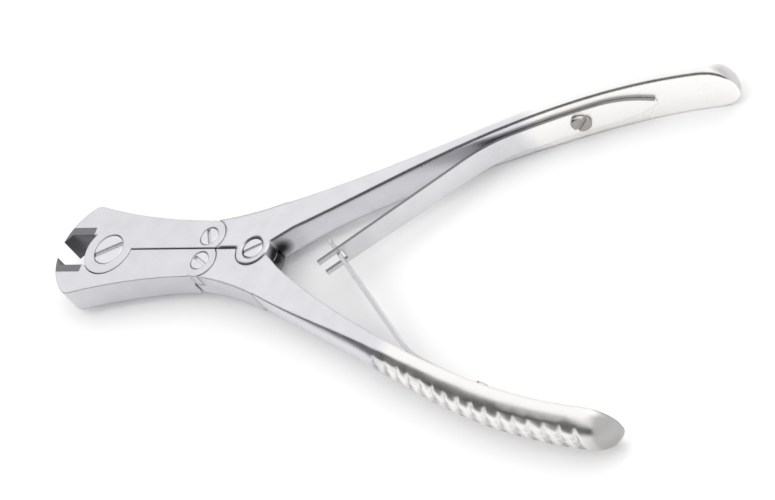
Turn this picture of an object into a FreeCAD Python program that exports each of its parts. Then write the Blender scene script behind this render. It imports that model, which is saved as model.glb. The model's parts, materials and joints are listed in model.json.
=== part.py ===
import FreeCAD, Part
import math
import os

import Sketcher
from FreeCAD import Placement, Rotation, Vector

# Double action pin cutter, drawn in its sprung open position.
# While it is drawn, the jaw pivot is the origin, +X runs along the axis towards the
# handles, +Y towards the upper handle and +Z out of the face with the screw heads.
# At the end every piece is shifted so that the whole stands on z = 0.

DRIVING_SIZES = [
    # Head and hub
    ("body_thickness", 9.5),
    ("lap_gap", 0.1),
    ("axis_gap", 0.5),
    ("lug_clearance", 0.3),
    ("screw_clearance", 0.05),
    ("loose_clearance", 0.25),
    ("thread_clearance", 0.02),
    # Pivots: the jaw pivot is at 0, 0
    ("link_along", 38.6),
    ("link_across", 4.47),
    ("handle_pivot_along", 57.5),
    ("jaw_lug_radius", 9.0),
    ("link_lug_radius", 5.9),
    ("handle_lug_radius", 6.1),
    # Jaws and cutting inserts
    ("nose_radius", 19.9),
    ("shoulder_radius", 3.5),
    ("jaw_back_radius", 194.0),
    ("tooth_height", 2.8),
    ("tooth_back", 17.4),
    ("mouth_half_height", 5.6),
    ("insert_depth", 2.6),
    ("insert_end", 8.5),
    ("lug_side_along", 5.4),
    ("seam_notch_setback", 1.4),
    ("seam_notch_width", 2.2),
    ("seam_notch_depth", 0.9),
    # Handles
    ("hub_back_radius", 105.0),
    ("crotch_angle", 20.0),
    ("root_along", 12.5),
    ("root_across", 7.2),
    ("root_lean_angle", 31.3),
    ("root_depth", 11.4),
    ("grip_arc_length", 92.0),
    ("grip_arc_angle", 12.0),
    ("curl_radius", 200.0),
    ("curl_angle", 16.3),
    ("grip_depth", 1.8),
    ("grip_width", 16.4),
    ("grip_crown", 6.2),
    ("root_crown", 0.3),
    ("taper_length", 95.0),
    ("widening_start", 33.0),
    ("widening_end", 115.0),
    ("crown_end", 90.0),
    ("end_round_length", 9.0),
    # Finger grooves across the outside of the grips
    ("groove_start", 54.8),
    ("groove_pitch", 5.4),
    ("groove_width", 3.4),
    ("groove_depth", 1.5),
    ("groove_mouth_rise", 0.8),
    ("groove_bottom_along", 2.7),
    # Leaf springs
    ("leaf_thickness", 1.1),
    ("leaf_gap", 0.1),
    ("leaf_root_setback", 27.0),
    ("leaf_contact_station", 76.0),
    ("leaf_angle", 41.5),
    ("leaf_bend_radius", 50.0),
    ("leaf_overrun", 6.0),
    ("leaf_root_width", 9.2),
    ("leaf_tip_width", 6.6),
    ("leaf_end_width", 1.8),
    ("leaf_end_taper", 16.0),
    ("fork_slot_width", 3.8),
    ("fork_slot_length", 9.0),
    ("tongue_width", 3.0),
    ("tongue_length", 10.0),
    ("tongue_head_width", 4.8),
    ("tongue_head_length", 2.4),
    # Screws
    ("jaw_screw_head_radius", 5.5),
    ("jaw_screw_shank_radius", 3.2),
    ("link_screw_head_radius", 3.3),
    ("link_screw_shank_radius", 1.9),
    ("handle_screw_head_radius", 3.6),
    ("handle_screw_shank_radius", 2.1),
    ("screw_head_depth", 2.0),
    ("jaw_screw_slot_width", 1.8),
    ("screw_slot_width", 1.1),
    ("screw_slot_depth", 0.9),
    ("screw_end_recess", 0.3),
    ("head_edge_break", 0.4),
    ("jaw_slot_angle", 25.0),
    ("upper_link_slot_angle", -63.0),
    ("lower_link_slot_angle", -30.0),
    ("handle_slot_angle", 28.0),
    ("spring_screw_station", 97.0),
    ("spring_screw_head_radius", 3.2),
    ("spring_screw_head_depth", 1.2),
    ("spring_screw_shank_radius", 1.5),
    ("spring_screw_reach", 3.2),
    ("spring_slot_angle", 60.0),
]

GROOVE_COUNT = 16
ARC_STATIONS = (0.0, 0.3, 0.65, 1.0)
END_STATIONS = (0.0, 0.35, 0.6, 0.8, 0.92, 0.985)
CROWN_SHARES = (-0.93, -0.75, -0.47, -0.16, 0.16, 0.47, 0.75, 0.93)
UPPER = 1
LOWER = -1

doc = FreeCAD.newDocument("pin_cutter")
sheet = doc.addObject("Spreadsheet::Sheet", "sizes")
for row, (alias, number) in enumerate(DRIVING_SIZES, start=1):
    sheet.set(f"A{row}", alias)
    sheet.set(f"B{row}", str(number))
    sheet.setAlias(f"B{row}", alias)
doc.recompute()


class Size:
    """A number together with the sheet formula that gives it."""

    def __init__(self, value, formula):
        self.value = value
        self.formula = formula

    def __add__(self, other):
        other = as_size(other)
        return Size(self.value + other.value, f"({self.formula} + {other.formula})")

    def __sub__(self, other):
        other = as_size(other)
        return Size(self.value - other.value, f"({self.formula} - {other.formula})")

    def __mul__(self, other):
        other = as_size(other)
        return Size(self.value * other.value, f"({self.formula} * {other.formula})")

    def __truediv__(self, other):
        other = as_size(other)
        return Size(self.value / other.value, f"({self.formula} / {other.formula})")

    def __neg__(self):
        return Size(-self.value, f"(0 - {self.formula})")


def as_size(number):
    """Return a plain number as a Size; leave a Size as it is."""
    if isinstance(number, Size):
        return number
    return Size(float(number), f"({float(number):.6f})")


def cell(alias):
    """Return the driving size that the sheet holds under this alias."""
    return Size(float(sheet.get(alias)), f"sizes.{alias}")


def root(size):
    return Size(math.sqrt(size.value), f"sqrt({size.formula})")


def cosine(angle):
    return Size(math.cos(math.radians(angle.value)), f"cos({angle.formula} * 1 deg)")


def sine(angle):
    return Size(math.sin(math.radians(angle.value)), f"sin({angle.formula} * 1 deg)")


def smaller(first, second):
    first, second = as_size(first), as_size(second)
    return Size(min(first.value, second.value), f"min({first.formula}; {second.formula})")


def larger(first, second):
    first, second = as_size(first), as_size(second)
    return Size(max(first.value, second.value), f"max({first.formula}; {second.formula})")


half_body = cell("body_thickness") / 2
half_lap = cell("lap_gap") / 2
half_axis_gap = cell("axis_gap") / 2
zero = as_size(0)


class Corner:
    """A corner of an outline. A radius makes the edge that leaves it an arc.

    The arc runs anticlockwise for turn = 1 and clockwise for turn = -1, and is the
    shorter of the two possible ones unless it is marked as long.
    """

    def __init__(self, x, y, radius=None, turn=1, is_long=False):
        self.x = as_size(x)
        self.y = as_size(y)
        self.radius = radius
        self.turn = turn
        self.is_long = is_long


def mirrored(corners):
    """Return the same outline on the other side of the local X axis."""
    return [Corner(c.x, -c.y, c.radius, -c.turn, c.is_long) for c in corners]


def flipped(corners):
    """Return the same outline on the other side of the local Y axis."""
    return [Corner(-c.x, c.y, c.radius, -c.turn, c.is_long) for c in corners]


def arc_between(corner, following):
    """Return the arc that leaves a corner, as an anticlockwise circle segment."""
    start = Vector(corner.x.value, corner.y.value, 0)
    end = Vector(following.x.value, following.y.value, 0)
    chord = end - start
    radius = corner.radius.value
    rise = math.sqrt(max(radius ** 2 - (chord.Length / 2) ** 2, 0))
    towards = corner.turn * (-1 if corner.is_long else 1)
    left = Vector(-chord.y, chord.x, 0).normalize()
    centre = (start + end) * 0.5 + left * rise * towards
    circle = Part.Circle(centre, Vector(0, 0, 1), radius)
    first = math.atan2(start.y - centre.y, start.x - centre.x)
    last = math.atan2(end.y - centre.y, end.x - centre.x)
    if corner.turn < 0:
        first, last = last, first
    if last < first:
        last += 2 * math.pi
    return Part.ArcOfCircle(circle, first, last)


def bind(sketch, constraint, size):
    """Add a constraint to a sketch and tie its value to the sheet."""
    index = sketch.addConstraint(constraint)
    sketch.setExpression(f"Constraints[{index}]", size.formula)


def add_outline(sketch, corners):
    """Draw a closed outline whose corners and radii are tied to the sheet."""
    count = len(corners)
    edges = []
    starts = []
    ends = []
    for number, corner in enumerate(corners):
        following = corners[(number + 1) % count]
        if corner.radius is None:
            start = Vector(corner.x.value, corner.y.value, 0)
            end = Vector(following.x.value, following.y.value, 0)
            edges.append(sketch.addGeometry(Part.LineSegment(start, end)))
            starts.append(1)
            ends.append(2)
        else:
            edges.append(sketch.addGeometry(arc_between(corner, following)))
            starts.append(1 if corner.turn > 0 else 2)
            ends.append(2 if corner.turn > 0 else 1)
    for number, corner in enumerate(corners):
        after = (number + 1) % count
        edge = edges[number]
        sketch.addConstraint(
            Sketcher.Constraint("Coincident", edge, ends[number], edges[after], starts[after])
        )
        along = Sketcher.Constraint("DistanceX", edge, starts[number], corner.x.value)
        across = Sketcher.Constraint("DistanceY", edge, starts[number], corner.y.value)
        bind(sketch, along, corner.x)
        bind(sketch, across, corner.y)
        if corner.radius is not None:
            bind(sketch, Sketcher.Constraint("Radius", edge, corner.radius.value), corner.radius)


def add_circle(sketch, x, y, radius):
    """Draw a circle tied to the sheet."""
    x, y = as_size(x), as_size(y)
    centre = Vector(x.value, y.value, 0)
    edge = sketch.addGeometry(Part.Circle(centre, Vector(0, 0, 1), radius.value))
    bind(sketch, Sketcher.Constraint("DistanceX", edge, 3, x.value), x)
    bind(sketch, Sketcher.Constraint("DistanceY", edge, 3, y.value), y)
    bind(sketch, Sketcher.Constraint("Radius", edge, radius.value), radius)


def new_body(label):
    body = doc.addObject("PartDesign::Body", label)
    body.Label = label
    return body


def new_sketch(body, name, plane="XY_Plane", height=None):
    """Start a sketch on an origin plane of its body, at a height above it."""
    sketch = body.newObject("Sketcher::SketchObject", f"{body.Label}_{name}")
    for feature in body.Origin.OriginFeatures:
        if feature.Role == plane:
            sketch.AttachmentSupport = [(feature, "")]
    sketch.MapMode = "FlatFace"
    if height is not None:
        sketch.AttachmentOffset = Placement(Vector(0, 0, height.value), Rotation())
        sketch.setExpression("AttachmentOffset.Base.z", height.formula)
    return sketch


def pad(body, sketch, length, side_type="One side", downwards=False):
    feature = body.newObject("PartDesign::Pad", f"{sketch.Name}_pad")
    feature.Profile = sketch
    feature.SideType = side_type
    feature.Reversed = downwards
    feature.setExpression("Length", length.formula)
    return feature


def pocket(body, sketch, length, side_type="One side", upwards=False):
    """Cut downwards from the sketch, or upwards, or both ways for Symmetric."""
    feature = body.newObject("PartDesign::Pocket", f"{sketch.Name}_pocket")
    feature.Profile = sketch
    feature.SideType = side_type
    feature.Reversed = upwards
    feature.setExpression("Length", length.formula)
    return feature


def pad_half(body, name, is_top, draw):
    """Pad a shape that fills the top or the bottom half of the thickness."""
    height = half_lap if is_top else -half_lap
    sketch = new_sketch(body, name, height=height)
    draw(sketch)
    pad(body, sketch, half_body - half_lap, downwards=not is_top)


def cut_half(body, name, is_top, x, y, radius):
    """Cut a round seat out of the top or the bottom half of the thickness."""
    height = -half_lap if is_top else half_lap
    sketch = new_sketch(body, name, height=height)
    add_circle(sketch, x, y, radius)
    pocket(body, sketch, half_body * 2, upwards=is_top)


def cut_through(body, name, draw):
    """Cut a shape drawn in plan right through the body."""
    sketch = new_sketch(body, name)
    draw(sketch)
    pocket(body, sketch, cell("grip_width") * 2, "Symmetric")


def cut_from_top(body, name, x, y, radius, depth):
    """Cut a round recess down from the top face."""
    sketch = new_sketch(body, name, height=half_body + half_lap)
    add_circle(sketch, x, y, radius)
    pocket(body, sketch, depth + half_lap)


def round_corner(body, x, y, radius):
    """Round the upright edge that stands at x, y."""
    doc.recompute()
    base = body.Tip
    for number, edge in enumerate(base.Shape.Edges, start=1):
        middle = edge.CenterOfMass
        is_upright = edge.BoundBox.XLength < 0.01 and edge.BoundBox.YLength < 0.01
        if is_upright and math.hypot(middle.x - x.value, middle.y - y.value) < 0.1:
            fillet = body.newObject("PartDesign::Fillet", f"{body.Label}_fillet")
            fillet.Base = (base, [f"Edge{number}"])
            fillet.setExpression("Radius", radius.formula)
            return
    raise RuntimeError(f"{body.Label} has no upright edge at {x.value}, {y.value}")


# The waist is where the outlines of a jaw and a handle meet, over the link screw.
link_x = cell("link_along")
link_y = cell("link_across")
waist_y = link_y + cell("link_lug_radius")


def nose_point(height):
    """The point of the nose, an arc round the jaw pivot, at this height."""
    nose = cell("nose_radius")
    return -root(nose * nose - height * height)


def nose_corner():
    """Where the nose arc would meet the long arc of the jaw's back."""
    nose = cell("nose_radius")
    back = cell("jaw_back_radius")
    centre_y = waist_y + back
    reach = root(link_x * link_x + centre_y * centre_y)
    along = (nose * nose - back * back + reach * reach) / (reach * 2)
    aside = root(nose * nose - along * along)
    x = (link_x * along - centre_y * aside) / reach
    y = (centre_y * along + link_x * aside) / reach
    return x, y


def place_on_side(corners, side):
    return corners if side == UPPER else mirrored(corners)


def link_lug(side):
    """The round lug over a link, cut straight along the axis of the cutter."""
    radius = cell("link_lug_radius")
    drop = link_y - half_axis_gap
    reach = root(radius * radius - drop * drop)
    corners = [
        Corner(link_x + reach, half_axis_gap, radius, 1, is_long=True),
        Corner(link_x - reach, half_axis_gap),
    ]
    return place_on_side(corners, side)


def seam_notch():
    """A notch in the back of the upper jaw, where its outline meets the handle's."""
    middle = link_x - cell("seam_notch_setback")
    half = cell("seam_notch_width") / 2
    depth = cell("seam_notch_depth")
    return [
        Corner(middle - half * 2, waist_y + depth),
        Corner(middle, waist_y - depth),
        Corner(middle + half * 2, waist_y + depth),
    ]


def make_jaw(label, side):
    """A jaw: nose, mouth edge with the insert's seat, pivot lug and rear link lug.

    The pivot lug of the upper jaw is its top half, and that of the lower jaw its
    bottom half. Both rear lugs are top halves.
    """
    body = new_body(label)
    mouth = cell("mouth_half_height")
    seat_top = mouth + cell("insert_depth")
    seat_end = -cell("insert_end")
    lug_side = -cell("lug_side_along")
    corner_x, corner_y = nose_corner()
    corners = [
        Corner(link_x, half_axis_gap),
        Corner(link_x, waist_y, cell("jaw_back_radius"), -1),
        Corner(corner_x, corner_y, cell("nose_radius"), 1),
        Corner(nose_point(seat_top), seat_top),
        Corner(seat_end, seat_top),
        Corner(seat_end, mouth),
        Corner(lug_side, mouth),
        Corner(lug_side, half_axis_gap),
    ]
    sketch = new_sketch(body, "outline")
    add_outline(sketch, place_on_side(corners, side))
    pad(body, sketch, cell("body_thickness"), "Symmetric")
    round_corner(body, corner_x, corner_y * side, cell("shoulder_radius"))
    notch = place_on_side(seam_notch(), side)
    cut_through(body, "seam_notch", lambda drawing: add_outline(drawing, notch))

    lug = cell("jaw_lug_radius")
    is_top = side == UPPER
    cut_half(body, "lug_seat", not is_top, 0, 0, lug + cell("lug_clearance"))
    pad_half(body, "lug", is_top, lambda drawing: add_circle(drawing, 0, 0, lug))
    seat = cell("link_lug_radius") + cell("lug_clearance")
    cut_half(body, "link_seat", False, link_x, link_y * side, seat)
    pad_half(body, "link_lug", True, lambda drawing: add_outline(drawing, link_lug(side)))

    shank = cell("jaw_screw_shank_radius")
    clearance = cell("screw_clearance") if is_top else cell("thread_clearance")
    cut_through(body, "pivot_hole", lambda drawing: add_circle(drawing, 0, 0, shank + clearance))
    if is_top:
        head = cell("jaw_screw_head_radius") + clearance
        cut_from_top(body, "pivot_seat", 0, 0, head, cell("screw_head_depth") + half_lap)
    link_hole = cell("link_screw_shank_radius") + cell("screw_clearance")
    cut_through(
        body, "link_hole", lambda drawing: add_circle(drawing, link_x, link_y * side, link_hole)
    )
    head = cell("link_screw_head_radius") + cell("screw_clearance")
    depth = cell("screw_head_depth") + half_lap
    cut_from_top(body, "link_screw_seat", link_x, link_y * side, head, depth)
    return body


def make_insert(label, side):
    """The hard cutting insert that is brazed along the mouth edge of a jaw."""
    body = new_body(label)
    mouth = cell("mouth_half_height")
    seat_top = mouth + cell("insert_depth")
    tooth = cell("tooth_height")
    corners = [
        Corner(-cell("insert_end"), mouth),
        Corner(-cell("insert_end"), seat_top),
        Corner(nose_point(seat_top), seat_top, cell("nose_radius"), 1),
        Corner(nose_point(tooth), tooth),
        Corner(-cell("tooth_back"), mouth),
    ]
    sketch = new_sketch(body, "outline")
    add_outline(sketch, place_on_side(corners, side))
    pad(body, sketch, cell("body_thickness"), "Symmetric")
    return body


pivot_x = cell("handle_pivot_along")


def grip_station(station):
    """A place on the inner face of the upper grip: x, y and the lean of the face.

    The face is an arc that starts at the root, then a tighter arc that curls in.
    """
    station = as_size(station)
    root_x = pivot_x + cell("root_along")
    root_y = cell("root_across")
    lean = cell("root_lean_angle")
    length = cell("grip_arc_length")
    turn = cell("grip_arc_angle")
    radius = length / (turn * (math.pi / 180))
    end_lean = lean - turn
    if station.value <= length.value:
        here = lean - turn * station / length
        x = root_x + radius * (sine(lean) - sine(here))
        y = root_y + radius * (cosine(here) - cosine(lean))
        return x, y, here
    curl = cell("curl_radius")
    joint_x = root_x + radius * (sine(lean) - sine(end_lean))
    joint_y = root_y + radius * (cosine(end_lean) - cosine(lean))
    here = end_lean - (station - length) / curl * (180 / math.pi)
    x = joint_x + curl * (sine(end_lean) - sine(here))
    y = joint_y + curl * (cosine(here) - cosine(end_lean))
    return x, y, here


def grip_depth(station):
    """Depth of the flat sides of the grip, which thins from the root."""
    left = larger(0, as_size(1) - as_size(station) / cell("taper_length"))
    extra = cell("root_depth") - cell("root_crown") - cell("grip_depth")
    return cell("grip_depth") + extra * left * left


def share_between(station, start, end):
    """How far a station is between two others, from 0 to 1."""
    return smaller(1, larger(0, (as_size(station) - start) / (end - start)))


def grip_half_width(station):
    """Half of the width of the flat inner face, which widens less and less."""
    left = as_size(1) - share_between(station, cell("widening_start"), cell("widening_end"))
    return half_body + (cell("grip_width") / 2 - half_body) * (as_size(1) - left * left)


def grip_crown(station):
    share = share_between(station, zero, cell("crown_end"))
    return cell("root_crown") + (cell("grip_crown") - cell("root_crown")) * share


def grip_section(body, number, station, side):
    """A cross-section of the grip: flat inside, flat sides and crowned outside."""
    x, y, lean = grip_station(station)
    scale = end_scale(station)
    half = grip_half_width(station) * scale
    depth = grip_depth(station) * scale
    crown = grip_crown(station) * scale
    bulge = (half * half + crown * crown) / (crown * 2)
    corners = [Corner(0, -half), Corner(depth, -half)]
    for share in CROWN_SHARES:
        across = half * share
        rise = root(bulge * bulge - across * across) - (bulge - crown)
        corners.append(Corner(depth + rise, across))
    corners += [Corner(depth, half), Corner(0, half)]
    sketch = new_sketch(body, f"section_{number}", "YZ_Plane")
    turned = Rotation(Vector(0, 1, 0), lean.value * side)
    sketch.AttachmentOffset = Placement(Vector(y.value * side, 0, x.value), turned)
    sketch.setExpression("AttachmentOffset.Base.x", (y * side).formula)
    sketch.setExpression("AttachmentOffset.Base.z", x.formula)
    sketch.setExpression("AttachmentOffset.Rotation.Angle", f"{(lean * side).formula} * 1 deg")
    add_outline(sketch, corners if side == UPPER else flipped(corners))
    return sketch


def curl_length():
    return cell("curl_radius") * cell("curl_angle") * (math.pi / 180)


def grip_end():
    """The station of the grip's end."""
    return cell("grip_arc_length") + curl_length()


def grip_stations():
    """The stations of the grip's cross-sections."""
    length = cell("grip_arc_length")
    round_length = cell("end_round_length")
    round_start = grip_end() - round_length
    stations = [length * share for share in ARC_STATIONS]
    stations.append((length + round_start) / 2)
    stations += [round_start + round_length * share for share in END_STATIONS]
    return stations


def end_scale(station):
    """What is left of the grip's thickness in its rounded end, from 1 to 0."""
    share = share_between(station, grip_end() - cell("end_round_length"), grip_end())
    return root(as_size(1) - share * share)


def outside_point(station, lift):
    """A point of the upper grip's crest, or this far above it."""
    x, y, lean = grip_station(station)
    out = grip_depth(station) + grip_crown(station) + lift
    return x - sine(lean) * out, y + cosine(lean) * out


def groove_outline(number):
    """One finger groove seen along Z: a notch with a steep rear wall."""
    start = cell("groove_start") + cell("groove_pitch") * number
    width = cell("groove_width")
    rise = cell("groove_mouth_rise")
    front = outside_point(start, rise)
    bottom = outside_point(start + cell("groove_bottom_along"), -cell("groove_depth"))
    rear = outside_point(start + width, rise)
    return [Corner(*front), Corner(*bottom), Corner(*rear)]


def make_handle(label, side):
    """A handle: hub with half-lap lugs, and a lofted grip with finger grooves.

    The front link lug is a bottom half. The hub lug of the upper handle is a top
    half and that of the lower handle a bottom half.
    """
    body = new_body(label)
    lug = cell("handle_lug_radius")
    angle = cell("crotch_angle")
    root_x, root_y, lean = grip_station(0)
    depth = cell("root_depth")
    corners = [
        Corner(link_x, half_axis_gap),
        Corner(pivot_x, half_axis_gap),
        Corner(pivot_x + lug * cosine(angle), lug * sine(angle)),
        Corner(root_x, root_y),
        Corner(root_x - sine(lean) * depth, root_y + cosine(lean) * depth,
               cell("hub_back_radius"), -1),
        Corner(link_x, waist_y),
    ]
    sketch = new_sketch(body, "hub")
    add_outline(sketch, place_on_side(corners, side))
    pad(body, sketch, cell("body_thickness"), "Symmetric")

    stations = grip_stations()
    sections = [
        grip_section(body, number, station, side) for number, station in enumerate(stations)
    ]
    doc.recompute()
    round_start = len(sections) - len(END_STATIONS)
    loft = body.newObject("PartDesign::AdditiveLoft", f"{label}_grip")
    loft.Profile = sections[0]
    loft.Sections = sections[1:round_start + 1]
    loft.Ruled = False
    doc.recompute()
    loft = body.newObject("PartDesign::AdditiveLoft", f"{label}_end")
    loft.Profile = sections[round_start]
    loft.Sections = sections[round_start + 1:]
    loft.Ruled = True

    sketch = new_sketch(body, "grooves")
    for number in range(GROOVE_COUNT):
        add_outline(sketch, place_on_side(groove_outline(number), side))
    pocket(body, sketch, cell("grip_width") * 2, "Symmetric")

    is_top = side == UPPER
    cut_half(body, "lug_seat", not is_top, pivot_x, 0, lug + cell("loose_clearance"))
    pad_half(body, "lug", is_top, lambda drawing: add_circle(drawing, pivot_x, 0, lug))
    seat = cell("link_lug_radius") + cell("lug_clearance")
    cut_half(body, "link_seat", True, link_x, link_y * side, seat)
    pad_half(body, "link_lug", False, lambda drawing: add_outline(drawing, link_lug(side)))

    link_hole = cell("link_screw_shank_radius") + cell("thread_clearance")
    cut_through(
        body, "link_hole", lambda drawing: add_circle(drawing, link_x, link_y * side, link_hole)
    )
    shank = cell("handle_screw_shank_radius")
    clearance = cell("loose_clearance") if is_top else cell("thread_clearance")
    cut_through(
        body, "pivot_hole", lambda drawing: add_circle(drawing, pivot_x, 0, shank + clearance)
    )
    if is_top:
        head = cell("handle_screw_head_radius") + clearance
        depth = cell("screw_head_depth") + half_lap
        cut_from_top(body, "pivot_seat", pivot_x, 0, head, depth)

    cut_spring_screw_hole(body, side)
    return body


def facing_sketch(body, name, station, side, lift):
    """Start a sketch that faces the inner side of a grip at a station.

    Its local X runs along the grip and its local Y is -Z for the upper grip.
    """
    x, y, lean = grip_station(station)
    x = x + sine(lean) * lift
    y = y - cosine(lean) * lift
    sketch = new_sketch(body, name, "XZ_Plane")
    offset = Vector(x.value, 0, -y.value * side)
    sketch.AttachmentOffset = Placement(offset, Rotation(Vector(0, -1, 0), -lean.value * side))
    sketch.setExpression("AttachmentOffset.Base.x", x.formula)
    sketch.setExpression("AttachmentOffset.Base.z", (y * -side).formula)
    sketch.setExpression("AttachmentOffset.Rotation.Angle", f"{(lean * -side).formula} * 1 deg")
    return sketch


def cut_spring_screw_hole(body, side):
    """The blind threaded hole for the spring screw, in the inner face of a grip."""
    lift = cell("leaf_gap")
    sketch = facing_sketch(body, "spring_hole", cell("spring_screw_station"), side, lift)
    add_circle(sketch, 0, 0, cell("spring_screw_shank_radius") + cell("thread_clearance"))
    depth = cell("spring_screw_reach") + cell("screw_end_recess") + lift
    pocket(body, sketch, depth, upwards=side == LOWER)


def leaf_path():
    """Corners of the upper leaf: tip, bend, contact, joint and root, then back below."""
    lean = cell("leaf_angle")
    bend = cell("leaf_bend_radius")
    thickness = cell("leaf_thickness")
    gap = cell("leaf_gap")
    contact_x, contact_y, contact_lean = grip_station(cell("leaf_contact_station"))
    joint_x, joint_y, joint_lean = grip_station(cell("grip_arc_length"))
    root_x, root_y, root_lean = grip_station(grip_end() - cell("leaf_root_setback"))
    grip_radius = cell("grip_arc_length") / (cell("grip_arc_angle") * (math.pi / 180))
    curl = cell("curl_radius")
    top_x = contact_x + sine(contact_lean) * gap
    top_y = contact_y - cosine(contact_lean) * gap
    centre_x = top_x + sine(contact_lean) * bend
    centre_y = top_y - cosine(contact_lean) * bend
    bend_x = centre_x - sine(lean) * bend
    bend_y = centre_y + cosine(lean) * bend
    straight = bend_y / sine(lean) + cell("leaf_overrun")
    tip_x = bend_x - cosine(lean) * straight
    tip_y = bend_y - sine(lean) * straight

    def below(x, y, angle, distance):
        return x + sine(angle) * distance, y - cosine(angle) * distance

    lower_tip = below(tip_x, tip_y, lean, thickness)
    lower_bend = below(bend_x, bend_y, lean, thickness)
    lower_contact = below(top_x, top_y, contact_lean, thickness)
    upper_joint = below(joint_x, joint_y, joint_lean, gap)
    lower_joint = below(joint_x, joint_y, joint_lean, gap + thickness)
    upper_root = below(root_x, root_y, root_lean, gap)
    lower_root = below(root_x, root_y, root_lean, gap + thickness)
    return [
        Corner(tip_x, tip_y),
        Corner(bend_x, bend_y, bend, -1),
        Corner(top_x, top_y, grip_radius - gap, -1),
        Corner(*upper_joint, curl - gap, -1),
        Corner(*upper_root),
        Corner(*lower_root, curl - gap - thickness, 1),
        Corner(*lower_joint, grip_radius - gap - thickness, 1),
        Corner(*lower_contact, bend - thickness, 1),
        Corner(*lower_bend),
        Corner(*lower_tip),
    ]


def leaf_side_cut(tip_x, root_x):
    """What is cut off above the leaf, seen along Y, so that both its ends narrow."""
    tip_half = cell("leaf_tip_width") / 2
    root_half = cell("leaf_root_width") / 2
    beyond = cell("leaf_root_width")
    end_half = cell("leaf_end_width") / 2
    taper = cell("leaf_end_taper")
    drop = root_half - end_half
    return [
        Corner(tip_x - beyond, beyond),
        Corner(tip_x - beyond, tip_half),
        Corner(tip_x, tip_half),
        Corner(root_x - taper, root_half, (taper * taper + drop * drop) / (drop * 2), -1),
        Corner(root_x, end_half),
        Corner(root_x + beyond, end_half),
        Corner(root_x + beyond, beyond),
    ]


def tongue_side_cut(tip_x):
    """What is cut off beside the neck and the head of the tongue, seen along Y."""
    head = cell("tongue_head_width") / 2
    neck = cell("tongue_width") / 2
    beyond = cell("leaf_root_width")
    scale = cosine(cell("leaf_angle"))
    neck_start = tip_x + cell("tongue_head_length") * scale
    neck_end = tip_x + cell("tongue_length") * scale
    return [
        Corner(tip_x - beyond, beyond),
        Corner(tip_x - beyond, head),
        Corner(neck_start, head),
        Corner(neck_start, neck),
        Corner(neck_end, neck),
        Corner(neck_end, beyond),
    ]


def make_leaf_spring(label, side):
    """A leaf spring. The tip of the upper one is a fork, that of the lower a tongue."""
    body = new_body(label)
    corners = leaf_path()
    sketch = new_sketch(body, "edge")
    add_outline(sketch, place_on_side(corners, side))
    pad(body, sketch, cell("leaf_root_width"), "Symmetric")

    tip_x = corners[0].x
    root_x = corners[4].x
    reach = pivot_x + grip_end()
    sketch = new_sketch(body, "sides", "XZ_Plane")
    add_outline(sketch, leaf_side_cut(tip_x, root_x))
    add_outline(sketch, mirrored(leaf_side_cut(tip_x, root_x)))
    pocket(body, sketch, reach, "Symmetric")

    sketch = new_sketch(body, "end", "XZ_Plane")
    if side == UPPER:
        slot = cell("fork_slot_width") / 2
        slot_end = tip_x + cell("fork_slot_length") * cosine(cell("leaf_angle"))
        beyond = tip_x - cell("leaf_root_width")
        fork = [
            Corner(beyond, -slot),
            Corner(slot_end, -slot),
            Corner(slot_end, slot),
            Corner(beyond, slot),
        ]
        add_outline(sketch, fork)
    else:
        add_outline(sketch, tongue_side_cut(tip_x))
        add_outline(sketch, mirrored(tongue_side_cut(tip_x)))
    pocket(body, sketch, reach, "Symmetric")

    lift = cell("leaf_thickness") + cell("leaf_gap") * 2
    sketch = facing_sketch(body, "screw_hole", cell("spring_screw_station"), side, lift)
    add_circle(sketch, 0, 0, cell("spring_screw_shank_radius") + cell("screw_clearance"))
    pocket(body, sketch, lift, upwards=side == LOWER)
    return body


def make_screw(label, head_radius, head_depth, shank_radius, length, slot_width):
    """A slotted screw that stands on -Z, with the top of its head at the origin."""
    body = new_body(label)
    edge = cell("head_edge_break")
    sketch = new_sketch(body, "profile", "XZ_Plane")
    corners = [
        Corner(0, 0),
        Corner(head_radius - edge, 0),
        Corner(head_radius, -edge),
        Corner(head_radius, -head_depth),
        Corner(shank_radius, -head_depth),
        Corner(shank_radius, -length),
        Corner(0, -length),
    ]
    add_outline(sketch, corners)
    turned = body.newObject("PartDesign::Revolution", f"{label}_turned")
    turned.Profile = sketch
    turned.ReferenceAxis = (sketch, ["V_Axis"])
    turned.Angle = 360

    slot = slot_width / 2
    reach = head_radius * 2
    sketch = new_sketch(body, "slot")
    corners = [
        Corner(-reach, -slot),
        Corner(reach, -slot),
        Corner(reach, slot),
        Corner(-reach, slot),
    ]
    add_outline(sketch, corners)
    pocket(body, sketch, cell("screw_slot_depth"))
    return body


def place_screw(body, x, y, height, slot_angle):
    """Stand a screw in the plan with its slot at an angle to the axis."""
    centre = Vector(x.value, y.value, height.value)
    body.Placement = Placement(centre, Rotation(Vector(0, 0, 1), slot_angle.value))
    body.setExpression("Placement.Base.x", x.formula)
    body.setExpression("Placement.Base.y", y.formula)
    body.setExpression("Placement.Rotation.Angle", f"{slot_angle.formula} * 1 deg")


def place_spring_screw(body, side):
    """Turn a screw so that it stands on the leaf at the inner face of a grip."""
    x, y, lean = grip_station(cell("spring_screw_station"))
    lift = cell("leaf_gap") * 2 + cell("leaf_thickness") + cell("spring_screw_head_depth")
    x = x + sine(lean) * lift
    y = (y - cosine(lean) * lift) * side
    centre = Vector(x.value, y.value, 0)
    out = Vector(math.sin(math.radians(lean.value)), -side * math.cos(math.radians(lean.value)), 0)
    slot = Rotation(Vector(0, 0, 1), cell("spring_slot_angle").value)
    body.Placement = Placement(centre, Rotation(Vector(0, 0, 1), out) * slot)
    body.setExpression("Placement.Base.x", x.formula)
    body.setExpression("Placement.Base.y", y.formula)


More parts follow.
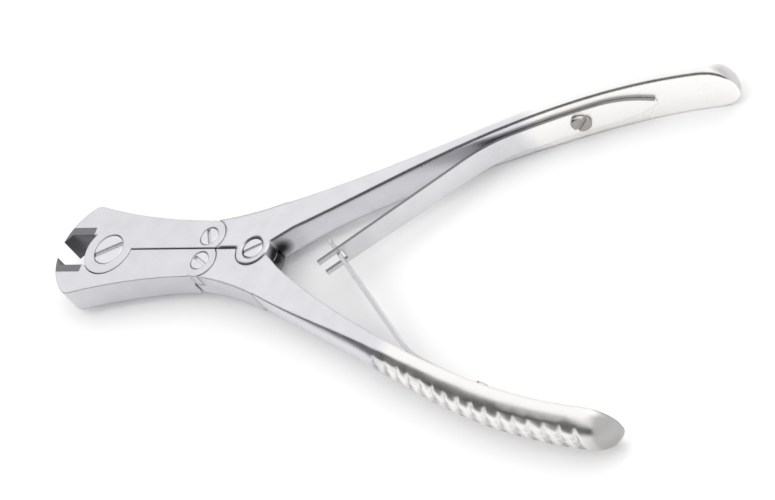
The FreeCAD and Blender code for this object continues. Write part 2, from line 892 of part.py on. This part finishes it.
screw_length = cell("body_thickness") - cell("screw_end_recess")
spring_screw_length = (cell("spring_screw_head_depth") + cell("leaf_thickness")
                       + cell("leaf_gap") * 2 + cell("spring_screw_reach"))

parts = [
    make_jaw("upper_jaw", UPPER),
    make_jaw("lower_jaw", LOWER),
    make_insert("upper_jaw_insert", UPPER),
    make_insert("lower_jaw_insert", LOWER),
    make_handle("upper_handle", UPPER),
    make_handle("lower_handle", LOWER),
    make_leaf_spring("upper_leaf_spring", UPPER),
    make_leaf_spring("lower_leaf_spring", LOWER),
]

wide_slot = cell("jaw_screw_slot_width")
slot = cell("screw_slot_width")
flat_screws = [
    ("jaw_pivot_screw", "jaw_screw", zero, zero, wide_slot, "jaw_slot_angle"),
    ("upper_link_screw", "link_screw", link_x, link_y, slot, "upper_link_slot_angle"),
    ("lower_link_screw", "link_screw", link_x, -link_y, slot, "lower_link_slot_angle"),
    ("handle_pivot_screw", "handle_screw", pivot_x, zero, slot, "handle_slot_angle"),
]
for label, kind, screw_x, screw_y, width, slot_alias in flat_screws:
    screw = make_screw(label, cell(f"{kind}_head_radius"), cell("screw_head_depth"),
                       cell(f"{kind}_shank_radius"), screw_length, width)
    place_screw(screw, screw_x, screw_y, half_body, cell(slot_alias))
    parts.append(screw)

for label, side in (("upper_spring_screw", UPPER), ("lower_spring_screw", LOWER)):
    screw = make_screw(label, cell("spring_screw_head_radius"), cell("spring_screw_head_depth"),
                       cell("spring_screw_shank_radius"), spring_screw_length, slot)
    place_spring_screw(screw, side)
    parts.append(screw)

doc.recompute()

failed = [item.Label for item in doc.Objects
          if "Invalid" in item.State or "Error" in item.State]
if failed:
    raise RuntimeError(f"features that failed: {failed}")
for part in parts:
    if part.Shape.isNull() or not part.Shape.isValid() or len(part.Shape.Solids) != 1:
        raise RuntimeError(f"{part.Label} is not one valid solid")

# Stand the cutter on z = 0 with the middle of its length at x = 0.
whole = FreeCAD.BoundBox()
for part in parts:
    whole.add(part.Shape.optimalBoundingBox(False, False))
shift = Vector(-(whole.XMin + whole.XMax) / 2, 0, -whole.ZMin)
os.makedirs("parts", exist_ok=True)
for part in parts:
    placed = part.Shape.copy()
    placed.translate(shift)
    placed.exportStep(os.path.join("parts", f"{part.Label}.step"))
    print(f"{part.Label}: {placed.Volume:.1f} mm3")
print(f"jaw pivot at x = {shift.x:.4f}, middle plane at z = {shift.z:.4f}")
print(f"size {whole.XLength:.2f} x {whole.YLength:.2f} x {whole.ZLength:.2f} mm")
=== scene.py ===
# %% [markdown]
# # A pin cutter, dressed for its photograph
# A surgeon uses this tool to cut steel pins and wires that hold bone.
# Two short jaws carry hard cutting inserts, two long handles work them through four pivots,
# and two crossed leaf springs push the handles apart again.
# The shapes come from the CAD model, which is loaded first as a frame that nothing may move.
# This lesson adds the camera, the light, the deep finger grooves, the broken edges
# and the colour, roughness and grain of each metal, with painted shade on some faces and edges.

import json
import math

import bmesh
import bpy
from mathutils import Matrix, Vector


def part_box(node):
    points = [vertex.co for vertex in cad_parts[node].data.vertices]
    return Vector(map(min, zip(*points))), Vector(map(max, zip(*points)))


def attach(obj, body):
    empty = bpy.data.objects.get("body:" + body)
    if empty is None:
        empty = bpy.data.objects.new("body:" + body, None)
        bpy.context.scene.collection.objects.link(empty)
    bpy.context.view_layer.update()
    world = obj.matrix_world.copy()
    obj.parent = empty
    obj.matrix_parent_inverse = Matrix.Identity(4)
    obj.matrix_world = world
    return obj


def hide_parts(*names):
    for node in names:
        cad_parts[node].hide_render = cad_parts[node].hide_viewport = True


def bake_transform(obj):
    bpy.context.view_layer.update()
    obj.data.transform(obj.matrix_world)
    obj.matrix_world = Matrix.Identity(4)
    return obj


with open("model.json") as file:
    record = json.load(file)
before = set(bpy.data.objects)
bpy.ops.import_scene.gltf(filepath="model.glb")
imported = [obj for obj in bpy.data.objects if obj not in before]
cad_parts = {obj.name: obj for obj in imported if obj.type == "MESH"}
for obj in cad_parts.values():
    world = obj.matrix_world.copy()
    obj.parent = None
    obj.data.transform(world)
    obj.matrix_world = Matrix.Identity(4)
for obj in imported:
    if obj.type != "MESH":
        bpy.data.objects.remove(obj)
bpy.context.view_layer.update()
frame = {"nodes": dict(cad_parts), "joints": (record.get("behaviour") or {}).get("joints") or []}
nodes = frame["nodes"]
mm = 0.001
hand_sides = {"upper": 1, "lower": -1}
print("pieces:", sorted(nodes))


# %% A helper that finds a joint
def joint_place(name):
    joint = next(joint for joint in frame["joints"] if joint["name"] == name)
    return Vector(joint["pos_m"])


print("the jaws turn round", tuple(round(value, 4) for value in joint_place("jaw_pivot")))

# %% [markdown]
# ## Where the photographer stood
# The cutter lies on its side faces, and the camera looks down on it from beyond the ends
# of the handles, so the jaws are farthest away on the left.
# The camera is placed from the jaw pivot, on the flat of the head, because that is
# the sharpest mark in the picture.
# A long lens keeps the handles nearly parallel, as they are in the photograph.

# %% The camera
head_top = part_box("lower_jaw")[1].z
pivot_point = Vector((joint_place("jaw_pivot").x, joint_place("jaw_pivot").y, head_top))
camera_step = Vector((0.77814, -0.51691, 0.76015))
camera_turn = [math.radians(angle) for angle in (39.729, 29.560, 21.689)]
sensor_width = 36
focal_length = 177.43
nearest_seen = 0.05
farthest_seen = 20
bpy.ops.object.camera_add(location=pivot_point + camera_step, rotation=camera_turn)
camera = bpy.context.object
camera.name = "photo_camera"
camera.data.sensor_width = sensor_width
camera.data.lens = focal_length
camera.data.clip_start = nearest_seen
camera.data.clip_end = farthest_seen
bpy.context.scene.camera = camera
print("camera is", round(camera_step.length, 3), "m from the pivot")

# %% [markdown]
# ## A white table under soft light
# The photograph was taken on a white sheet with light from all round.
# A pale floor, a bright sky and one wide lamp overhead give that, and the floor keeps a faint shadow.
# The sky looks white to the camera and in the metal, and it lights the scene at a plain level.

# %% The floor
floor_size = 6.0
sheet_white = 0.93
sheet_roughness = 0.9
bpy.ops.mesh.primitive_plane_add(size=floor_size, location=(0, 0, 0))
floor = bpy.context.object
floor.name = "floor"

floor_paint = bpy.data.materials.new("white_sheet")
floor_paint.use_nodes = True
floor_shader = floor_paint.node_tree.nodes["Principled BSDF"]
floor_shader.inputs["Base Color"].default_value = (sheet_white, sheet_white, sheet_white, 1)
floor_shader.inputs["Roughness"].default_value = sheet_roughness
floor.data.materials.append(floor_paint)
print("floor:", floor_size, "m wide")

# %% [markdown]
# The world has two skies. One lights the scene, and the other, of strength 1, is what the camera,
# a mirror or a glass sees. The Light Path node tells them apart.

# %% The sky
light_strength = 1.2
seen_strength = 1.0
white = (1, 1, 1, 1)
sky = bpy.data.worlds.new("studio")
bpy.context.scene.world = sky
sky.use_nodes = True
sky_nodes = sky.node_tree.nodes
sky_links = sky.node_tree.links
sky_light = sky_nodes["Background"]
sky_light.inputs["Color"].default_value = white
sky_light.inputs["Strength"].default_value = light_strength
sky_seen = sky_nodes.new("ShaderNodeBackground")
sky_seen.inputs["Color"].default_value = white
sky_seen.inputs["Strength"].default_value = seen_strength
print("sky lights at", light_strength, "and is seen at", seen_strength)

# %% The rays that see the white sky
ray_kind = sky_nodes.new("ShaderNodeLightPath")
seen_or_mirrored = sky_nodes.new("ShaderNodeMath")
seen_or_mirrored.operation = "MAXIMUM"
sky_links.new(ray_kind.outputs["Is Camera Ray"], seen_or_mirrored.inputs[0])
sky_links.new(ray_kind.outputs["Is Glossy Ray"], seen_or_mirrored.inputs[1])
seen_any = sky_nodes.new("ShaderNodeMath")
seen_any.operation = "MAXIMUM"
sky_links.new(seen_or_mirrored.outputs[0], seen_any.inputs[0])
sky_links.new(ray_kind.outputs["Is Transmission Ray"], seen_any.inputs[1])
sky_mix = sky_nodes.new("ShaderNodeMixShader")
sky_links.new(seen_any.outputs[0], sky_mix.inputs[0])
sky_links.new(sky_light.outputs[0], sky_mix.inputs[1])
sky_links.new(sky_seen.outputs[0], sky_mix.inputs[2])
sky_links.new(sky_mix.outputs[0], sky_nodes["World Output"].inputs["Surface"])
bpy.context.scene.view_settings.view_transform = "Standard"
print("the sky has", len(sky_nodes), "nodes")

# %% The overhead lamp
lamp_place = Vector((0.6, 0.5, 1.2))
lamp_width = 1.2
lamp_power = 2
bpy.ops.object.light_add(type="AREA", location=lamp_place)
lamp = bpy.context.object
lamp.name = "overhead_lamp"
lamp.data.size = lamp_width
lamp.data.energy = lamp_power
lamp.rotation_euler = (-lamp_place).to_track_quat("-Z", "Y").to_euler()
print(lamp.name, "is", lamp_width, "m wide")

# %% [markdown]
# The dark bands along the grips are the reflection of something black in the studio.
# A wide black card stands to the left of the camera for them, outside the picture.

# %% The black card
card_place = Vector((-1.03, -1.23, 0.60))
card_width = 3.2
card_height = 1.2
card_black = (0.01, 0.01, 0.01, 1)
black_paint = bpy.data.materials.new("black_card")
black_paint.use_nodes = True
black_shader = black_paint.node_tree.nodes["Principled BSDF"]
black_shader.inputs["Base Color"].default_value = card_black
black_shader.inputs["Roughness"].default_value = 1.0

bpy.ops.mesh.primitive_plane_add(size=1, location=card_place)
card = bpy.context.object
card.name = "dark_wall"
card.scale = (card_width, card_height, 1)
card.rotation_euler = (-card_place).to_track_quat("Z", "Y").to_euler()
card.visible_camera = False
card.visible_shadow = False
card.visible_diffuse = False
card.data.materials.append(black_paint)
print(card.name, "is", card_width, "by", card_height, "m")

# %% [markdown]
# ## The metals
# All of the cutter is stainless steel but for the two inserts, which are tungsten carbide.
# Steel that was blasted with fine beads and brushed is bright but never a mirror:
# each patch of it scatters the light a little differently.
# The shader is a metal whose colour and roughness drift slowly over the surface,
# with a fine grain that only the bump sees.
# It could be one long list of nodes. Small helpers, one for each kind of node, keep it short.


# %% Helpers for the shader nodes
def ramp(tree, value, start, full, low, high):
    """Turns a value between start and full into one between low and high."""
    node = tree.nodes.new("ShaderNodeMapRange")
    node.inputs["From Min"].default_value = start
    node.inputs["From Max"].default_value = full
    node.inputs["To Min"].default_value = low
    node.inputs["To Max"].default_value = high
    tree.links.new(value, node.inputs["Value"])
    return node.outputs["Result"]


def without_sign(tree, value):
    node = tree.nodes.new("ShaderNodeMath")
    node.operation = "ABSOLUTE"
    tree.links.new(value, node.inputs[0])
    return node.outputs[0]


def scaled(tree, colour, amount):
    node = tree.nodes.new("ShaderNodeVectorMath")
    node.operation = "SCALE"
    tree.links.new(colour, node.inputs[0])
    tree.links.new(amount, node.inputs["Scale"])
    return node.outputs["Vector"]


def noise(tree, place, scale, detail):
    node = tree.nodes.new("ShaderNodeTexNoise")
    node.inputs["Scale"].default_value = scale
    node.inputs["Detail"].default_value = detail
    tree.links.new(place, node.inputs["Vector"])
    return node.outputs["Fac"]


# %% A colour that drifts
cloud_scale = 160
cloud_detail = 4
cloud_low = 0.3
cloud_high = 0.7
colour_drift = 0.04


def drifting_colour(tree, clouds, colour):
    node = tree.nodes.new("ShaderNodeValToRGB")
    darker, lighter = node.color_ramp.elements
    darker.position = cloud_low
    darker.color = [value * (1 - colour_drift) for value in colour] + [1]
    lighter.position = cloud_high
    lighter.color = [min(1, value * (1 + colour_drift)) for value in colour] + [1]
    tree.links.new(clouds, node.inputs["Fac"])
    return node.outputs["Color"]


print("the colour drifts over about", round(1 / cloud_scale / mm), "mm")

# %% [markdown]
# The far half of each grip is polished and looks warmer than the rest.
# The step between the two is as sharp as in the photograph, so it is a narrow ramp along X.

# %% A warmer end
warm_colour = (0.97, 0.955, 0.94, 1)
warm_blend = 3 * mm


def warmer_end(tree, surface_colour, place, start):
    split = tree.nodes.new("ShaderNodeSeparateXYZ")
    tree.links.new(place, split.inputs["Vector"])
    amount = ramp(tree, split.outputs["X"], start - warm_blend, start + warm_blend, 0, 1)
    node = tree.nodes.new("ShaderNodeMix")
    node.data_type = "RGBA"
    node.inputs["B"].default_value = warm_colour
    tree.links.new(amount, node.inputs["Factor"])
    tree.links.new(surface_colour, node.inputs["A"])
    return node.outputs["Result"]


print("the polished ends start within", round(2 * warm_blend / mm), "mm")

# %% [markdown]
# The crotch behind the handle pivot is nearly black, being deep in shade, and that shade is painted.
# The painted shade fades with the distance from its middle, and only side walls take it.

# %% Painted shade in the crotch
crotch_place = (-0.0275, 0, 0.0082)
crotch_dark = 4.0 * mm
crotch_light = 5.8 * mm
crotch_shade = 0.05


# Painted shade: scales the colour down near crotch_place, on faces that point sideways.
def crotch_shaded(tree, surface_colour, place, upright):
    distance = tree.nodes.new("ShaderNodeVectorMath")
    distance.operation = "DISTANCE"
    distance.inputs[1].default_value = crotch_place
    tree.links.new(place, distance.inputs[0])
    shade_fade = ramp(tree, distance.outputs["Value"], crotch_dark, crotch_light, crotch_shade, 1)
    shade_factor = tree.nodes.new("ShaderNodeMath")
    shade_factor.operation = "MAXIMUM"
    tree.links.new(shade_fade, shade_factor.inputs[0])
    tree.links.new(upright, shade_factor.inputs[1])
    return scaled(tree, surface_colour, shade_factor.outputs[0])


print("the painted crotch shade is", round(2 * crotch_light / mm, 1), "mm wide")

# %% [markdown]
# Two kinds of surface get painted shade: the rounded edge between a flat side and an inner face,
# which gets a painted dark line, and the walls of the grooves and the tips, which point along the
# grip.
# Both are found by the direction in which the surface points.

# %% Painted shade where the surface points one way
inner_edge_way = (0.25, -0.62, 0.75)
inner_edge_start = 0.84
inner_edge_full = 0.90
end_start = 0.25
end_full = 0.60


def darkened(tree, surface_colour, normal, way, start, full, shade):
    """Scales a colour down to shade where the normal points along way, in both senses."""
    along = tree.nodes.new("ShaderNodeVectorMath")
    along.operation = "DOT_PRODUCT"
    along.inputs[1].default_value = way
    tree.links.new(normal, along.inputs[0])
    match = without_sign(tree, along.outputs["Value"])
    return scaled(tree, surface_colour, ramp(tree, match, start, full, 1, shade))


print("the painted edge shade points along", inner_edge_way)

# %% [markdown]
# The grain is a fine noise, stretched along a leaf spring because a leaf is rolled.
# It only moves the normal. A Bevel node rounds every edge a little more than the mesh does,
# so that light runs along it.

# %% The grain and the worn edges
grain_size = 0.35 * mm
grain_height = grain_size / 60
grain_detail = 2
edge_samples = 8
even = (1, 1, 1)


def edge_normal(tree, radius):
    node = tree.nodes.new("ShaderNodeBevel")
    node.samples = edge_samples
    node.inputs["Radius"].default_value = radius
    return node.outputs["Normal"]


def grained_normal(tree, place, stretch, normal):
    turned = tree.nodes.new("ShaderNodeMapping")
    turned.inputs["Scale"].default_value = stretch
    tree.links.new(place, turned.inputs["Vector"])
    relief = tree.nodes.new("ShaderNodeBump")
    relief.inputs["Distance"].default_value = grain_height
    grain = noise(tree, turned.outputs["Vector"], 1 / grain_size, grain_detail)
    tree.links.new(grain, relief.inputs["Height"])
    tree.links.new(normal, relief.inputs["Normal"])
    return relief.outputs["Normal"]


print("the grain is", round(grain_size / mm, 2), "mm wide")

# %% A helper for every metal
side_facing = 0.3
top_facing = 0.9
smoother = 0.88
rougher = 1.12


def metal(name, colour, roughness, side_shade=0.8, warm_start=None, edge_radius=0.4 * mm,
          top_shade=1, edge_painted_shade=1, end_shade=1, end_way=None, stretch=even):
    paint = bpy.data.materials.new(name)
    paint.use_nodes = True
    tree = paint.node_tree
    shader = tree.nodes["Principled BSDF"]
    shader.inputs["Metallic"].default_value = 1.0
    where = tree.nodes.new("ShaderNodeTexCoord")
    place = where.outputs["Object"]
    facing = tree.nodes.new("ShaderNodeSeparateXYZ")
    tree.links.new(where.outputs["Normal"], facing.inputs["Vector"])
    upright = without_sign(tree, facing.outputs["Z"])
    clouds = noise(tree, place, cloud_scale, cloud_detail)
    rounded_normal = edge_normal(tree, edge_radius)

    surface_colour = drifting_colour(tree, clouds, colour)
    if warm_start is not None:
        surface_colour = warmer_end(tree, surface_colour, place, warm_start)
    # Painted shade by facing: faces that point sideways take side_shade and faces that point up take
    # top_shade.
    shade = ramp(tree, upright, side_facing, top_facing, side_shade, top_shade)
    # The painted shade in the crotch.
    surface_colour = crotch_shaded(tree, scaled(tree, surface_colour, shade), place, upright)
    # Painted shade: a dark line along rounded edges that point along inner_edge_way, and darker faces
    # where they point along end_way.
    if edge_painted_shade < 1:
        surface_colour = darkened(tree, surface_colour, rounded_normal, inner_edge_way,
                          inner_edge_start, inner_edge_full, edge_painted_shade)
    if end_shade < 1:
        surface_colour = darkened(tree, surface_colour, where.outputs["Normal"], end_way,
                          end_start, end_full, end_shade)
    matt = ramp(tree, clouds, cloud_low, cloud_high, roughness * smoother, roughness * rougher)
    tree.links.new(surface_colour, shader.inputs["Base Color"])
    tree.links.new(matt, shader.inputs["Roughness"])
    tree.links.new(grained_normal(tree, place, stretch, rounded_normal), shader.inputs["Normal"])
    print(name, "with roughness", roughness)
    return paint


# %% [markdown]
# The head is bead-blasted, so its steel is the roughest. Handles and springs are brushed finer,
# and the screw heads are nearly polished. Carbide is darker than any steel, and ground matt, and its
# dark colour is partly painted shade for the inserts' faces in the mouth.

# %% The steel of the head
satin_colour = (0.74, 0.735, 0.77)
# The jaws' side faces and their rounded inner edges are painted darker, as painted shade.
satin_steel = metal(
    "satin_steel", satin_colour, roughness=0.36, side_shade=0.82,
    edge_radius=0.7 * mm, edge_painted_shade=0.72,
)

# %% The steel of the two handles
grip_colour = (0.76, 0.755, 0.79)
# Painted shade on the grips: a dark line along the upper grip's inner edge, darker groove walls and
# tips (end_shade), and darker sides on the lower grip (side_shade).
upper_grip_steel = metal(
    "upper_grip_steel", grip_colour, roughness=0.30, side_shade=1, warm_start=0.049,
    edge_radius=1.8 * mm, edge_painted_shade=0.10, end_shade=0.6, end_way=(0.95, 0.31, 0),
)
lower_grip_steel = metal(
    "lower_grip_steel", grip_colour, roughness=0.30, side_shade=0.88, warm_start=0.028,
    edge_radius=1.4 * mm, end_shade=0.50, end_way=(0.95, -0.31, 0),
)
grip_steels = {"upper": upper_grip_steel, "lower": lower_grip_steel}

# %% The steel of the leaf springs
spring_colour = (0.72, 0.72, 0.74)
rolled = (0.1, 1, 1)
# The top faces of the leaves are painted darker by top_shade, the upper leaf's most; this is painted
# shade.
upper_spring_steel = metal(
    "upper_spring_steel", spring_colour, roughness=0.30, side_shade=0.97, warm_start=0.047,
    top_shade=0.35, stretch=rolled,
)
lower_spring_steel = metal(
    "lower_spring_steel", spring_colour, roughness=0.30, side_shade=0.97, warm_start=0.047,
    top_shade=0.85, stretch=rolled,
)
spring_steels = {"upper": upper_spring_steel, "lower": lower_spring_steel}

# %% The screws and the inserts
screw_steel = metal("screw_steel", (0.78, 0.78, 0.80), roughness=0.26)
# The heads of the spring screws face sideways, so side_shade=0.5 paints them darker, as painted shade
# for their rims and slots.
spring_screw_steel = metal("spring_screw_steel", (0.72, 0.70, 0.69), roughness=0.30, side_shade=0.5)
carbide = metal("ground_carbide", (0.22, 0.22, 0.24), roughness=0.45)

# %% [markdown]
# ## Finger grooves
# The backs of the grips are ribbed, so that a wet glove doesn't slide on them.
# The cutter of the real tool rolls over the round back and leaves a saw-tooth of slanted ribs.
# The CAD model has straight notches at the same places. They are made deeper here, and run
# round the back, because that is what shows at the outline.
# First comes the line that the grip follows: an arc from the root, then a tighter curl.

# %% Where the upper grip runs
hub_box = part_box("handle_pivot_screw")
handle_pivot_x = (hub_box[0].x + hub_box[1].x) / 2
middle_z = joint_place("jaw_pivot").z
root_along = 12.5 * mm
root_across = 7.2 * mm
root_lean = math.radians(31.3)
arc_length = 92 * mm
arc_turn = math.radians(12)
curl_radius = 200 * mm


def grip_place(station):
    """A place on the inner face of the upper grip, and how far the face leans there."""
    arc_radius = arc_length / arc_turn
    lean = root_lean - arc_turn * min(station, arc_length) / arc_length
    x = handle_pivot_x + root_along + arc_radius * (math.sin(root_lean) - math.sin(lean))
    y = root_across + arc_radius * (math.cos(lean) - math.cos(root_lean))
    if station > arc_length:
        arc_end_lean = lean
        lean = arc_end_lean - (station - arc_length) / curl_radius
        x += curl_radius * (math.sin(arc_end_lean) - math.sin(lean))
        y += curl_radius * (math.cos(lean) - math.cos(arc_end_lean))
    return x, y, lean


print("the arc ends at", [round(value, 4) for value in grip_place(arc_length)])

# %% How the back of the grip is rounded
end_depth = 1.8 * mm
depth_lost = 9.3 * mm
thinning_end = 95 * mm
root_crown = 0.3 * mm
crown_gained = 5.9 * mm
crown_end = 90 * mm
root_half_width = 4.75 * mm
half_width_gained = 3.45 * mm
widening_start = 33 * mm
widening_length = 82 * mm


def grip_back(station):
    """The height of the back's crest over the inner face, and the radius of the round back."""
    thinning = max(0, 1 - station / thinning_end)
    crown = root_crown + crown_gained * min(1, station / crown_end)
    narrowing = 1 - min(1, max(0, station - widening_start) / widening_length)
    half_width = root_half_width + half_width_gained * (1 - narrowing ** 2)
    height = end_depth + depth_lost * thinning ** 2 + crown
    return height, (half_width ** 2 + crown ** 2) / (2 * crown)


print("the back is round to", round(grip_back(arc_length)[1] / mm, 1), "mm")

# %% [markdown]
# Each groove is cut by a ring with a notch-shaped section. The ring is a torus with three sides,
# whose corners are moved in code to a long front slope and a short rear one.
# Its middle lies deep inside the grip, so the groove runs out before it reaches the flat sides.
# The ring leans a little to one side, as the real grooves do.

# %% One ring that cuts a groove
ring_segments = 56
ring_radius = 11.0 * mm
groove_depth = 1.75 * mm
groove_tilt = math.radians(14)
groove_mouth = 0.9 * mm
groove_front = -0.7 * mm
groove_bottom = 2.8 * mm
groove_rear = 3.8 * mm
mouth_radius = ring_radius + groove_depth + groove_mouth
ring_corners = [
    (ring_radius, 0),
    (mouth_radius, groove_rear - groove_bottom),
    (mouth_radius, groove_front - groove_bottom),
]


def groove_ring(station, side):
    bpy.ops.object.select_all(action="DESELECT")
    bpy.ops.mesh.primitive_torus_add(
        major_segments=ring_segments, minor_segments=len(ring_corners),
        major_radius=ring_radius, minor_radius=mm,
    )
    ring = bpy.context.object
    x, y, lean = grip_place(station + groove_bottom)
    height, back_radius = grip_back(station + groove_bottom)
    along = Vector((math.cos(lean), math.sin(lean), 0))
    outward = Vector((-math.sin(lean), math.cos(lean), 0))
    back_middle = Vector((x, y, middle_z)) + outward * (height - back_radius)
    outward = outward * math.cos(groove_tilt) - Vector((0, 0, math.sin(groove_tilt)))
    upward = along.cross(outward)
    middle = back_middle + outward * (back_radius - groove_depth - ring_radius)
    for number, vertex in enumerate(ring.data.vertices):
        radius, shift = ring_corners[number % len(ring_corners)]
        angle = math.atan2(vertex.co.y, vertex.co.x)
        place = middle + outward * radius * math.cos(angle) + upward * radius * math.sin(angle)
        place += along * shift
        vertex.co = (place.x, place.y * side, place.z)
    bpy.ops.object.mode_set(mode="EDIT")
    bpy.ops.mesh.select_all(action="SELECT")
    bpy.ops.mesh.normals_make_consistent(inside=False)
    bpy.ops.object.mode_set(mode="OBJECT")
    return ring


print("a groove is", round((groove_rear - groove_front) / mm, 1), "mm wide")

# %% All the rings of one grip
groove_count = 16
groove_start = 54.8 * mm
groove_pitch = 5.4 * mm


def cut_grooves(piece, hand):
    rings = []
    for number in range(groove_count):
        rings.append(groove_ring(groove_start + groove_pitch * number, hand_sides[hand]))
    bpy.ops.object.select_all(action="DESELECT")
    for ring in rings:
        ring.select_set(True)
    bpy.context.view_layer.objects.active = rings[0]
    bpy.ops.object.join()
    bpy.ops.object.select_all(action="DESELECT")
    bpy.context.view_layer.objects.active = piece
    piece.select_set(True)
    bpy.ops.object.modifier_add(type="BOOLEAN")
    cut = piece.modifiers[-1]
    cut.operation = "DIFFERENCE"
    cut.solver = "EXACT"
    cut.object = rings[0]
    bpy.ops.object.modifier_apply(modifier=cut.name)
    bpy.data.objects.remove(rings[0])
    print(piece.name, "has", groove_count, "grooves and", len(piece.data.polygons), "faces")


# %% [markdown]
# ## Edges that a hand can hold
# No edge of a surgical tool is sharp but the cutting edge itself: the others are broken in a tumbler.
# Each CAD piece is copied, its loose triangles are joined again, flat faces are made whole,
# and the edges get a narrow bevel that catches the light. On the handles, the leaves and
# the inserts it is very narrow, and the Bevel node in their metal rounds the rest.
# The copy then stands for the CAD piece in the picture.
# The tip of a grip is round all over, so its facets are shaded as one surface.

# %% A helper for the round tips
tip_length = 9 * mm
tip_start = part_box("upper_handle")[1].x - tip_length
tip_angle = math.radians(64)
rim_facing = 0.9


def smooth_the_tip(piece, hand):
    """Leaves no hard edge on the round end of a grip, but for the rim of its inner face."""
    mesh = bmesh.new()
    mesh.from_mesh(piece.data)
    side = hand_sides[hand]
    for edge in mesh.edges:
        if len(edge.link_faces) != 2 or min(vertex.co.x for vertex in edge.verts) < tip_start:
            continue
        inner = max(-face.normal.y * side for face in edge.link_faces)
        if inner < rim_facing and edge.calc_face_angle() < tip_angle:
            edge.smooth = True
    mesh.to_mesh(piece.data)
    mesh.free()


print("the tips start at x =", round(tip_start, 4))

# %% A helper that softens the edges of one piece
weld_distance = 0.002 * mm
flat_angle = math.radians(0.05)
sharp_angle = math.radians(40)
smooth_angle = math.radians(36)
bevel_steps = 2
round_profile = 0.5
flat_weight = 80


def soften(name, body, paint, edge_width, hand=None):
    bpy.ops.object.select_all(action="DESELECT")
    piece = bpy.data.objects.new("soft_" + name, nodes[name].data.copy())
    bpy.context.collection.objects.link(piece)
    bpy.context.view_layer.objects.active = piece
    piece.select_set(True)
    bpy.ops.object.mode_set(mode="EDIT")
    bpy.ops.mesh.select_mode(type="EDGE")
    bpy.ops.mesh.select_all(action="SELECT")
    bpy.ops.mesh.remove_doubles(threshold=weld_distance)
    bpy.ops.mesh.dissolve_limited(angle_limit=flat_angle)
    bpy.ops.mesh.select_all(action="DESELECT")
    bpy.ops.mesh.edges_select_sharp(sharpness=sharp_angle)
    bpy.ops.mesh.bevel(
        offset=edge_width, segments=bevel_steps, profile=round_profile, clamp_overlap=True
    )
    bpy.ops.object.mode_set(mode="OBJECT")
    if hand:
        cut_grooves(piece, hand)
    bpy.ops.object.shade_smooth_by_angle(angle=smooth_angle)
    if hand:
        smooth_the_tip(piece, hand)
    bpy.ops.object.modifier_add(type="WEIGHTED_NORMAL")
    piece.modifiers[-1].keep_sharp = True
    piece.modifiers[-1].weight = flat_weight
    piece.data.materials.clear()
    piece.data.materials.append(paint)
    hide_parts(name)
    if body:
        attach(piece, body)
    print(name, "has", len(piece.data.polygons), "faces as", paint.name)
    return piece


# %% [markdown]
# A leaf spring is screwed to its grip and bends where it leaves it.
# Here bend_leaf only bakes the copy's place into its mesh: the copy is not tied to the handle
# or to the spring's body, and it is not bent.


def bend_leaf(leaf):
    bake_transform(leaf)


# %% Soften every piece
jaw_edge = 0.32 * mm
insert_edge = 0.08 * mm
handle_edge = 0.12 * mm
leaf_edge = 0.05 * mm
screw_edge = 0.10 * mm
big_screw_edge = 0.12 * mm
for side in hand_sides:
    handle = side + "_handle"
    soften(side + "_jaw", side + "_jaw", satin_steel, jaw_edge)
    soften(side + "_jaw_insert", side + "_jaw", carbide, insert_edge)
    soften(handle, handle, grip_steels[side], handle_edge, hand=side)
    leaf = soften(side + "_leaf_spring", None, spring_steels[side], leaf_edge)
    bend_leaf(leaf)
    soften(side + "_link_screw", handle, screw_steel, screw_edge)
    soften(side + "_spring_screw", handle, spring_screw_steel, screw_edge)
soften("jaw_pivot_screw", "lower_jaw", screw_steel, big_screw_edge)
soften("handle_pivot_screw", "lower_handle", screw_steel, screw_edge)
